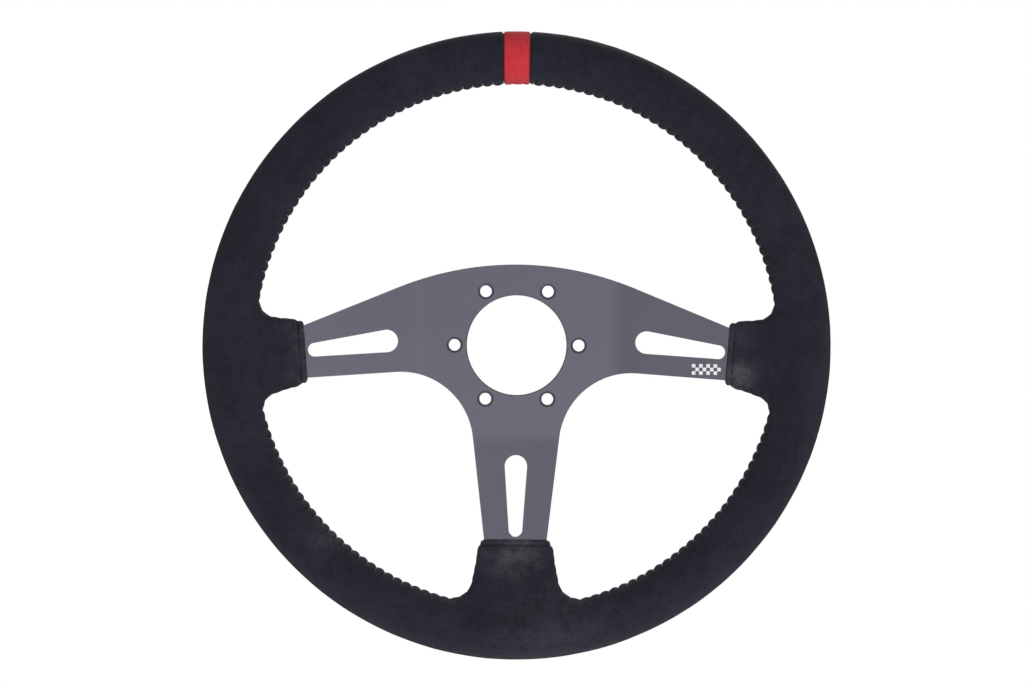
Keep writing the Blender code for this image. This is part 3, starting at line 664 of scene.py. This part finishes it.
def metal_look(name, dark, light, smooth, rough):
    look = Look(name, Metallic=1.0)
    stretched = look.add("ShaderNodeMapping", Vector=look.place, Scale=(20.0, 1.0, 20.0)).outputs["Vector"]
    drawn = look.noise(60.0, detail=4.0, vector=stretched)
    look.colour(look.mix(drawn, dark, light))
    look.roughness(look.steps(drawn, (0.3, smooth), (0.7, rough)))
    look.bump(drawn, 0.00003, 0.4)
    return look.material


def ink_look():
    """White ink printed on the plate, a little thin in places."""
    look = Look("printed_ink", Roughness=0.5)
    cover = look.noise(1200.0, detail=3.0)
    look.colour(look.mix(look.steps(cover, (0.25, 0.0), (0.5, 1.0)), (0.70, 0.70, 0.72), (0.86, 0.86, 0.87)))
    look.roughness(look.steps(cover, (0.3, 0.42), (0.7, 0.58)))
    look.bump(cover, 0.00003, 0.4)
    return look.material


LOOKS = {
    "black_suede": suede_look(
        "black_suede", 0.05, (0.0082, 0.0084, 0.0160), (0.0305, 0.0305, 0.0490), (0.078, 0.074, 0.088)
    ),
    "red_suede": suede_look("red_suede", 0.10, (0.53, 0.020, 0.031), (0.79, 0.056, 0.074), (0.8, 0.14, 0.15)),
    # painted highlight: the black thread's colours are lifted to a pale grey lilac, standing for glints along
    # its stitches
    "black_thread": thread_look("black_thread", (0.095, 0.093, 0.120), (0.460, 0.445, 0.560)),
    "red_thread": thread_look("red_thread", (0.30, 0.012, 0.018), (0.58, 0.040, 0.050)),
}
anodised = anodised_look("anodised_plate", (0.102, 0.101, 0.133), (0.146, 0.145, 0.183), 0.46, 0.56)
# painted highlight: a much lighter copy of the anodised finish for the plate's broken edges, standing for
# their catch-light
anodised_edge_highlight = anodised_look("anodised_edge_highlight", (0.34, 0.34, 0.36), (0.46, 0.46, 0.48), 0.30, 0.40)
ring_aluminium = metal_look("ring_aluminium", (0.52, 0.53, 0.54), (0.66, 0.67, 0.68), 0.28, 0.42)
rivet_steel = metal_look("rivet_steel", (0.38, 0.39, 0.41), (0.52, 0.53, 0.55), 0.24, 0.36)


def finish_piece(piece, slot, *nodes):
    """The piece rides on the wheel's one body and stands for these CAD nodes."""
    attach(piece, "root")
    if nodes:
        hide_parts(*nodes)


# ---------------- the suede cover


def skin_mesh(seams):
    """The grip's outer surface as a bmesh, cut where the panels meet and finer along the seams."""
    margin = 3 * SKIN_STEP
    low = (-WHEEL_RADIUS - margin, GRIP_LOW.y - margin, -WHEEL_RADIUS - margin)
    high = (WHEEL_RADIUS + margin, GRIP_HIGH.y + margin, WHEEL_RADIUS + margin)
    points, faces = surface_net(grip_distance, low, high, SKIN_STEP)
    mesh = bpy.data.meshes.new("skin")
    mesh.from_pydata([tuple(point) for point in onto_grip(points)], [], faces.tolist())
    shape = bmesh.new()
    shape.from_mesh(mesh)
    bpy.data.meshes.remove(mesh)
    points, ends = mesh_arrays(shape)
    for _ in range(3):
        points = onto_grip(relaxed(points, ends, np.full(len(points), 0.5), 1), 1)
    move_points(shape, points)
    cut_panels(shape)
    cut_plate_openings(shape)
    refine(shape, seams)
    return shape


def cut(shape, faces, at, normal):
    """Cuts these faces along a plane, and returns what they have become."""
    parts = set(faces)
    for face in faces:
        parts.update(face.edges)
        parts.update(face.verts)
    made = bmesh.ops.bisect_plane(shape, geom=list(parts), plane_co=at, plane_no=normal, dist=1e-6)
    return [item for item in made["geom"] if isinstance(item, bmesh.types.BMFace)]


def chosen(faces, test):
    """The faces whose centre passes the test."""
    return [face for face in faces if test(face.calc_center_median())]


def cut_panels(shape):
    """Cuts the skin along its panels' joints."""
    for angle, offset in JOINTS:
        here = Vector((math.sin(angle), 0, math.cos(angle)))
        across = Vector((math.cos(angle), 0, -math.sin(angle)))

        def at_joint(centre):
            return abs(centre.dot(across) - offset) < JOINT_REACH and centre.dot(here) > 0

        cut(shape, chosen(shape.faces, at_joint), across * offset, across)


def cut_plate_openings(shape):
    """Opens the end of each sleeve where the plate comes out of it."""
    half = PLATE_HALF + PLATE_CLEARANCE
    for spoke in SPOKES.values():
        low, high = spoke.tab[0] - PLATE_CLEARANCE, spoke.tab[1] + PLATE_CLEARANCE

        def at_end(centre):
            along, side = centre.dot(spoke.along), centre.dot(spoke.side)
            return 0 < along and spoke.past_end(along, side) < HEM and abs(side) < 2 * GRIP_RADIUS

        def in_plate(centre):
            off_plate = abs(centre.y - float(plate_y(centre.dot(spoke.along))))
            return low < centre.dot(spoke.side) < high and off_plate < half

        faces = chosen(shape.faces, at_end)
        middle = spoke.place(spoke.sleeve_end, 0, float(plate_y(spoke.sleeve_end)))
        across = Vector((0, 1, 0)) + spoke.along * DISH_SLOPE
        for at, normal in (
            (middle + Vector((0, half, 0)), across),
            (middle - Vector((0, half, 0)), across),
            (spoke.side * low, spoke.side),
            (spoke.side * high, spoke.side),
        ):
            faces = cut(shape, faces, at, normal)
        bmesh.ops.delete(shape, geom=chosen(faces, in_plate), context="FACES")


def past_joint(joint, x, z):
    """How far a point lies clockwise past the line of a joint between two panels."""
    angle, offset = joint
    return x * math.cos(angle) - z * math.sin(angle) - offset


def joint_gaps(points):
    """How far each point is from every joint between two panels."""
    x, z = points[:, 0], points[:, 2]
    gaps = []
    for joint in JOINTS:
        here = x * math.sin(joint[0]) + z * math.cos(joint[0]) > 0
        gaps.append(np.where(here, np.abs(past_joint(joint, x, z)), 1.0))
    return gaps


def refine(shape, seams):
    """Halves the skin's faces near its seams, hems and joints, twice."""
    tree, _ = seam_tree(seams)
    for reach in FINE_REACHES:
        points = np.array([vertex.co for vertex in shape.verts])
        distance = np.array([tree.find(point)[2] for point in points])
        for gap in joint_gaps(points):
            distance = np.minimum(distance, 2 * gap)
        for spoke in SPOKES.values():
            _, side, inward = spoke.sleeve_places(points)
            beside = np.abs(side) < 2 * GRIP_RADIUS
            distance = np.minimum(distance, np.where(beside, np.abs(inward - HEM), 1.0))
        near = dict(zip(shape.verts, distance < reach))
        edges = [edge for edge in shape.edges if near[edge.verts[0]] and near[edge.verts[1]]]
        bmesh.ops.subdivide_edges(shape, edges=edges, cuts=1, use_grid_fill=True)


def relief(points):
    """Height of what is worked into the cover besides its seams: hems, folds and the panels' joints."""
    height = np.zeros(len(points))
    for gap, depth in zip(joint_gaps(points), JOINT_DEPTHS):
        height -= depth * bell(gap, JOINT_WIDTH)
    for number, spoke in enumerate(SPOKES.values()):
        along, side, inward = spoke.sleeve_places(points)
        here = (inward < SLEEVE_REACH) & (np.abs(side) < SLEEVE_HALF_WIDTH)
        for middle, size, width in SLEEVE_FOLDS:
            height += np.where(here, size * bell(inward - middle, width), 0)
        middle, size, width = WRINKLES
        wrinkle = size * bell(inward - middle, width)
        for i in np.flatnonzero(here):
            spot = Vector((along[i] * WRINKLE_WAVES[0], side[i] * WRINKLE_WAVES[1], number * 7.0))
            height[i] += wrinkle[i] * noise.noise(spot)
    for i, point in enumerate(points):
        height[i] += sum(size * noise.noise(Vector(point) * waves) for size, waves in SURFACE_WAVES)
    return height


def pale_nap_and_painted_light_of(points):
    """How much paler the nap is made: a little at every sleeve's end, more at the listed spots, two of which
    are painted light.
    """
    pale_nap_and_painted_light = np.zeros(len(points))
    for spoke in SPOKES.values():
        _, side, inward = spoke.sleeve_places(points)
        here = np.abs(side) < SLEEVE_HALF_WIDTH
        pale_nap_and_painted_light = np.maximum(pale_nap_and_painted_light, np.where(here, PALE_END * bell(inward, PALE_END_REACH), 0))
    for (x, z), reach, amount in PALE_AND_LIT_SPOTS:
        pale_nap_and_painted_light = np.maximum(pale_nap_and_painted_light, amount * bell(np.hypot(points[:, 0] - x, points[:, 2] - z), reach))
    return pale_nap_and_painted_light


def panel_of(x, z):
    if abs(math.atan2(x, z)) > LOWER_PANEL_START:
        return "lower"
    if z > 0 and past_joint(JOINTS[0], x, z) < 0 < past_joint(JOINTS[3], x, z):
        return "band"
    return "upper_right" if x > 0 else "upper_left"


def build_cover(seams):
    shape = skin_mesh(seams)
    points, ends = mesh_arrays(shape)
    points = onto_grip(points, 2)
    rim = rim_distance(points)
    sleeves = np.min([spoke.distance(points) for spoke in SPOKES.values()], axis=0)
    at_join = bell(rim - sleeves, JOIN_REACH) * (np.maximum(rim, sleeves) < JOIN_REACH * 2)
    points = relaxed(points, ends, 0.5 * at_join, JOIN_ROUNDS)
    move_points(shape, points)
    shape.normal_update()
    normals = np.array([vertex.normal for vertex in shape.verts])
    along, across, strength = seam_places(points, seams)
    height = pucker(along, across, strength) + relief(points)
    outer = points + normals * height[:, None]
    inner = points - normals * np.maximum(SUEDE, SUEDE_LEFT - height)[:, None]
    # crease: painted shade by how deep the cover is pressed in; the other mask: paler nap, painted light at
    # two spots
    attributes = {"crease": np.clip(-height / CREASE_SHADE_DEPTH, 0, 1), "pale_nap_and_painted_light": pale_nap_and_painted_light_of(points)}
    panels = {"band": [], "upper_right": [], "lower": [], "upper_left": []}
    for face in shape.faces:
        centre = face.calc_center_median()
        panels[panel_of(centre.x, centre.z)].append([vertex.index for vertex in face.verts])
    for panel, faces in panels.items():
        slot, node = ("red_suede", "centre_band") if panel == "band" else ("black_suede", f"cover_{panel}")
        piece = shell(f"suede_{panel}", faces, outer, inner, attributes, LOOKS[slot])
        finish_piece(piece, slot, node)
    shape.free()


def shell(name, faces, outer, inner, attributes, look):
    """A closed shell from some of the skin's faces, with an inner side and walls at its open edges."""
    used = sorted({i for face in faces for i in face})
    number = {old: new for new, old in enumerate(used)}
    count = len(used)
    faces = [[number[i] for i in face] for face in faces]
    edges = {(a, b) for face in faces for a, b in zip(face, face[1:] + face[:1])}
    walls = [(b, a, a + count, b + count) for a, b in edges if (b, a) not in edges]
    inside = [[i + count for i in reversed(face)] for face in faces]
    points = np.concatenate([outer[used], inner[used]])
    piece = add_mesh(name, points, faces + inside + walls, look)
    for attribute, values in attributes.items():
        set_attribute(piece, attribute, np.concatenate([values[used], values[used]]))
    piece.data.set_sharp_from_angle(angle=math.radians(60))
    return piece


# ---------------- the stitches


def stitch_points(seam, at):
    """One stitch's line, from its needle hole in front of the seam to the one behind it."""
    reach = np.linspace(1, -1, 11)
    line = np.array([seam.point(at + STITCH_CURL * seam.pitch * part * abs(part)) for part in reach])
    strength = seam.strength[min(int(at / seam.SPACING), len(seam.at) - 1)]
    line[:, 1] -= STITCH_REACH * reach * (0.75 + 0.25 * strength)
    line = onto_grip(line)
    sink = THREAD_SINK + THREAD_DIVE * np.abs(reach) ** 6
    return line - grip_normal(line) * sink[:, None]


def build_stitches(seams):
    upper, right, left = seams
    groups = {"upper_left": upper, "band": upper, "upper_right": upper}
    groups |= {"lower_right": right, "lower_left": left}
    for name, seam in groups.items():
        slot = "red_thread" if name == "band" else "black_thread"
        points, faces, twist = [], [], []
        for number in range(seam.stitches):
            at = (number + 0.5) * seam.pitch
            middle = seam.point(at)
            if seam is upper and name != panel_of(middle[0], middle[2]):
                continue
            line = stitch_points(seam, at)
            tube, tube_faces = sweep(line, THREAD_RADIUS, THREAD_SIDES)
            start = sum(len(part) for part in points)
            faces += [tuple(i + start for i in face) for face in tube_faces]
            points.append(tube)
            along = np.arange(len(line))[:, None] * STRAND_TURN
            around = np.arange(THREAD_SIDES) * math.tau / THREAD_SIDES * STRANDS
            twist.append((along + around).ravel())
        piece = add_mesh(f"stitches_{name}", np.concatenate(points), faces, LOOKS[slot])
        set_attribute(piece, "twist", np.concatenate(twist))
        finish_piece(piece, slot, f"thread_{name}")


# ---------------- the spoke plate


def rounded(corners, steps):
    """The closed outline through (x, z, radius) corners, each rounded to its radius."""
    outline = []
    for i, (x, z, radius) in enumerate(corners):
        corner = Vector((x, z))
        if not radius:
            outline.append(corner)
            continue
        before = (Vector(corners[i - 1][:2]) - corner).normalized()
        after = (Vector(corners[(i + 1) % len(corners)][:2]) - corner).normalized()
        half = before.angle(after) / 2
        centre = corner + (before + after).normalized() * radius / math.sin(half)
        first = corner + before * radius / math.tan(half) - centre
        last = corner + after * radius / math.tan(half) - centre
        turn = first.angle_signed(last)
        outline += [centre + Matrix.Rotation(-turn * step / steps, 2) @ first for step in range(steps + 1)]
    return outline


def slot_outline(wide, narrow, steps=24):
    """The outline around two circles, each (x, z, radius)."""
    wide_centre, narrow_centre = Vector(wide[:2]), Vector(narrow[:2])
    run = narrow_centre - wide_centre
    heading = math.atan2(run.y, run.x)
    lean = math.acos((wide[2] - narrow[2]) / run.length)
    outline = []
    for centre, radius, start, turn in (
        (wide_centre, wide[2], heading + lean, math.tau - 2 * lean),
        (narrow_centre, narrow[2], heading - lean, 2 * lean),
    ):
        for step in range(steps + 1):
            angle = start + turn * step / steps
            outline.append(centre + radius * Vector((math.cos(angle), math.sin(angle))))
    return outline


def plate_outline():
    """The plate seen by the driver: an arched top edge, two arms and a leg."""
    arc_drop = TOP_ARC_RADIUS * (1 - math.cos(TOP_ARC_ANGLE))
    arc_side = TOP_ARC_RADIUS * math.sin(TOP_ARC_ANGLE)
    arm_start = arc_side + (PLATE_TOP - arc_drop - ARM_TOP) / math.tan(TOP_ARC_ANGLE)
    right = [
        (arm_start, ARM_TOP, 0),
        (TAB_END, ARM_TOP, TAB_CORNER),
        (TAB_END, ARM_BOTTOM, TAB_CORNER),
        (arm_start, ARM_BOTTOM, 0),
        CROTCH,
        (LEG_HALF_WIDTH, LEG_TAPER_END, 0),
        (LEG_HALF_WIDTH, -TAB_END, TAB_CORNER),
    ]
    left = [(-x, z, radius) for x, z, radius in reversed(right)]
    top = []
    for angle in np.linspace(-TOP_ARC_ANGLE, TOP_ARC_ANGLE, 49):
        height = PLATE_TOP - TOP_ARC_RADIUS * (1 - math.cos(angle))
        top.append(Vector((TOP_ARC_RADIUS * math.sin(angle), height)))
    return top + rounded(right + left, steps=32)


def flat_sheet(outlines):
    """The flat plate, with the first outline as its edge and the others as holes, as an object."""
    curve = bpy.data.curves.new("sheet", "CURVE")
    curve.dimensions = "2D"
    curve.fill_mode = "BOTH"
    curve.extrude = PLATE_HALF
    for outline in outlines:
        spline = curve.splines.new("POLY")
        spline.points.add(len(outline) - 1)
        spline.use_cyclic_u = True
        for spline_point, point in zip(spline.points, outline):
            spline_point.co = (point.x, point.y, 0, 1)
    holder = add_object("sheet", curve)
    mesh = evaluated_mesh(holder)
    bpy.data.objects.remove(holder)
    mesh.transform(Matrix.Translation((0, HUB_Y, 0)) @ Matrix.Rotation(math.pi / 2, 4, "X"))
    shape = bmesh.new()
    shape.from_mesh(mesh)
    bmesh.ops.remove_doubles(shape, verts=shape.verts, dist=1e-6)
    bmesh.ops.dissolve_limit(shape, angle_limit=math.radians(0.2), verts=shape.verts, edges=shape.edges)
    bmesh.ops.recalc_face_normals(shape, faces=shape.faces)
    shape.to_mesh(mesh)
    shape.free()
    return add_object("spoke_plate_fine", mesh)


def drill(sheet, x, z, radius, chamfer, sides):
    """A round hole through the hub with a 45 degree chamfer at its front."""
    profile = [
        (0, HUB_REAR + OVERCUT),
        (radius, HUB_REAR + OVERCUT),
        (radius, HUB_FRONT + chamfer),
        (radius + chamfer + OVERCUT, HUB_FRONT - OVERCUT),
        (0, HUB_FRONT - OVERCUT),
    ]
    shape = bmesh.new()
    rings = []
    for away, y in profile:
        turn = [math.tau * i / sides for i in range(sides if away else 1)]
        rings.append([shape.verts.new((x + away * math.cos(a), y, z + away * math.sin(a))) for a in turn])
    for near, far in zip(rings, rings[1:]):
        for i in range(sides):
            j = (i + 1) % sides
            corners = [near[i % len(near)], near[j % len(near)], far[j % len(far)], far[i % len(far)]]
            shape.faces.new(list(dict.fromkeys(corners)))
    bmesh.ops.recalc_face_normals(shape, faces=shape.faces)
    tool = add_object("drill", mesh_from(shape, "drill"))
    modifier = sheet.modifiers.new("Drill", "BOOLEAN")
    modifier.operation = "DIFFERENCE"
    modifier.object = tool
    modifier.solver = "EXACT"
    drilled = evaluated_mesh(sheet)
    sheet.modifiers.clear()
    sheet.data = drilled
    bpy.data.objects.remove(tool)


def break_edges(shape):
    """Rounds the edges around the plate's front and rear. Returns the faces that this adds."""
    edges = []
    for edge in shape.edges:
        if len(edge.link_faces) != 2 or not SHARP_ANGLES[0] < edge.calc_face_angle() < SHARP_ANGLES[1]:
            continue
        if any(all(abs(vertex.co.y - y) < 1e-6 for vertex in edge.verts) for y in (HUB_FRONT, HUB_REAR)):
            edges.append(edge)
    made = bmesh.ops.bevel(
        shape, geom=edges, offset=PLATE_EDGE, segments=3, profile=0.5, affect="EDGES", clamp_overlap=True
    )
    return made["faces"]


def bend(shape):
    """Cuts the plate's faces along the bend lines, then brings the spokes forward."""
    for line in (BEND_START, BEND_END):
        for part in np.linspace(-1, 1, BEND_CUTS + 1):
            for spoke in SPOKES.values():
                everything = shape.verts[:] + shape.edges[:] + shape.faces[:]
                at = spoke.along * (line + part * BEND_SOFTNESS)
                bmesh.ops.bisect_plane(shape, geom=everything, plane_co=at, plane_no=spoke.along, dist=1e-6)
    for vertex in shape.verts:
        vertex.co.y += float(plate_y(max(abs(vertex.co.x), -vertex.co.z))) - HUB_Y


def build_plate():
    slots = [slot_outline(*[(side, -along, radius) for along, side, radius in LEG_SLOT])]
    for sign in (-1, 1):
        slots.append(slot_outline(*[(sign * along, side, radius) for along, side, radius in ARM_SLOT]))
    plate = flat_sheet([plate_outline()] + slots)
    drill(plate, 0, 0, BORE_RADIUS, BORE_CHAMFER, sides=128)
    for i in range(BOLT_COUNT):
        angle = math.tau * i / BOLT_COUNT
        x, z = BOLT_CIRCLE_RADIUS * math.cos(angle), BOLT_CIRCLE_RADIUS * math.sin(angle)
        drill(plate, x, z, BOLT_HOLE_RADIUS, COUNTERSINK_RADIUS - BOLT_HOLE_RADIUS, sides=48)
    plate.data.materials.append(anodised)
    plate.data.materials.append(anodised_edge_highlight)
    shape = bmesh.new()
    shape.from_mesh(plate.data)
    # the broken edges get the lighter anodised copy, a painted highlight
    for face in break_edges(shape):
        face.material_index = 1
    bend(shape)
    shape.to_mesh(plate.data)
    shape.free()
    plate.data.shade_smooth()
    plate.data.set_sharp_from_angle(angle=math.radians(30))
    weigh = plate.modifiers.new("Even shading", "WEIGHTED_NORMAL")
    weigh.keep_sharp = True
    finish_piece(plate, "anodised_plate", "spoke_plate")


def build_print():
    """A small generic chequered mark on the right arm, below its slot."""
    columns, rows, size = 8, 3, 0.0020
    left, bottom, thickness = 0.0983, -0.0157, 0.00003
    points, faces = [], []
    for column in range(columns):
        for row in range(column % 2, rows, 2):
            x, z = left + column * size, bottom + row * size
            corners = [(x, z), (x + size, z), (x + size, z + size), (x, z + size)]
            start = len(points)
            for lift in (thickness, -thickness):
                for corner_x, corner_z in corners:
                    face_y = float(plate_y(corner_x)) - PLATE_HALF
                    points.append((corner_x, face_y - lift, corner_z))
            sides = [(4 + i, 4 + (i + 1) % 4, (i + 1) % 4, i) for i in range(4)]
            for face in [(0, 1, 2, 3), (7, 6, 5, 4), *sides]:
                faces.append(tuple(i + start for i in face))
    piece = add_mesh("chequered_print", points, faces, ink_look(), smooth=False)
    finish_piece(piece, "anodised_plate")


# ---------------- floor, light and camera


def build_floor():
    """Pale paper under the wheel that fades into the white of the room."""
    reach, height = 4.3, -1.45
    shape = bmesh.new()
    bmesh.ops.create_circle(shape, cap_ends=True, segments=96, radius=reach)
    floor = add_object("floor", mesh_from(shape, "floor"), (0, 0, height))
    look = Look("floor_paper", Roughness=0.9)
    look.colour(look.mix(look.noise(3.0), (0.84, 0.84, 0.84), (0.88, 0.88, 0.88)))
    away = look.add("ShaderNodeVectorMath", {"operation": "LENGTH"}, Vector=look.place).outputs["Value"]
    inputs = {"Value": away, "From Min": 0.25 * reach, "From Max": 0.95 * reach}
    fade = look.add("ShaderNodeMapRange", {"interpolation_type": "SMOOTHSTEP"}, **inputs)
    look.feed(look.shader.inputs["Alpha"], look.sum(1.0, fade.outputs["Result"], "SUBTRACT"))
    floor.data.materials.append(look.material)


def area_light(name, place, size, power):
    """A round soft light that faces the hub."""
    light = bpy.data.lights.new(name, "AREA")
    light.shape = "DISK"
    light.size = size
    light.energy = power
    made = add_object(name, light, place)
    made.rotation_euler = (-Vector(place)).to_track_quat("-Z", "Y").to_euler()


def build_world():
    """A white room: seen directly it is pure white, and it lights the wheel more softly."""
    world = bpy.data.worlds.new("studio")
    bpy.context.scene.world = world
    world.use_nodes = True
    tree = world.node_tree
    background = tree.nodes["Background"]
    background.inputs["Color"].default_value = (1, 1, 1, 1)
    seen = tree.nodes.new("ShaderNodeLightPath")
    strength = tree.nodes.new("ShaderNodeMapRange")
    strength.inputs["To Min"].default_value = 0.21  # as a light
    strength.inputs["To Max"].default_value = 1.0  # as the background
    tree.links.new(seen.outputs["Is Camera Ray"], strength.inputs["Value"])
    tree.links.new(strength.outputs["Result"], background.inputs["Strength"])


def build_camera():
    """The photograph's view: from the driver's side, two metres away, a touch right of the axis and above."""
    lens, sensor, frame_width, roll = 125.0, 36.0, 0.5738, math.radians(-0.35)
    target = Vector((-0.0010, RIM_Y, 0.0016))
    offset = Vector((0.009, -lens / sensor * frame_width, 0.030))
    camera = bpy.data.cameras.new("camera")
    camera.lens = lens
    camera.sensor_width = sensor
    made = add_object("camera", camera, target + offset)
    pitch = math.atan2(offset.z, -offset.y)
    yaw = math.atan2(offset.x, -offset.y)
    made.rotation_euler = (math.pi / 2 - pitch, roll, yaw)
    bpy.context.scene.camera = made


# ---------------- the whole scene

bpy.context.scene.view_settings.view_transform = "Standard"

inner_looks = {"rim_foam": rubber_look(), "rim_ring": ring_aluminium, "rivet_": rivet_steel}
for node_name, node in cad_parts.items():
    for start, inner_look in inner_looks.items():
        if node_name.startswith(start):
            for node_slot in node.material_slots:
                node_slot.material = inner_look

window_seams = [Seam(*window) for window in WINDOWS]
build_cover(window_seams)
build_stitches(window_seams)
build_plate()
build_print()
build_floor()
build_world()
area_light("key", (0.55, -1.25, -0.50), size=0.7, power=6)
area_light("edge", (0.75, -0.30, -0.80), size=0.4, power=2)
area_light("low", (0.0, -1.9, -0.90), size=0.8, power=11)
area_light("fill", (-0.9, -2.2, 1.3), size=1.6, power=20.5)
area_light("top", (-0.1, -0.6, 1.3), size=1.0, power=1.5)
area_light("back", (0.4, 2.4, 1.6), size=1.8, power=50)
build_camera()
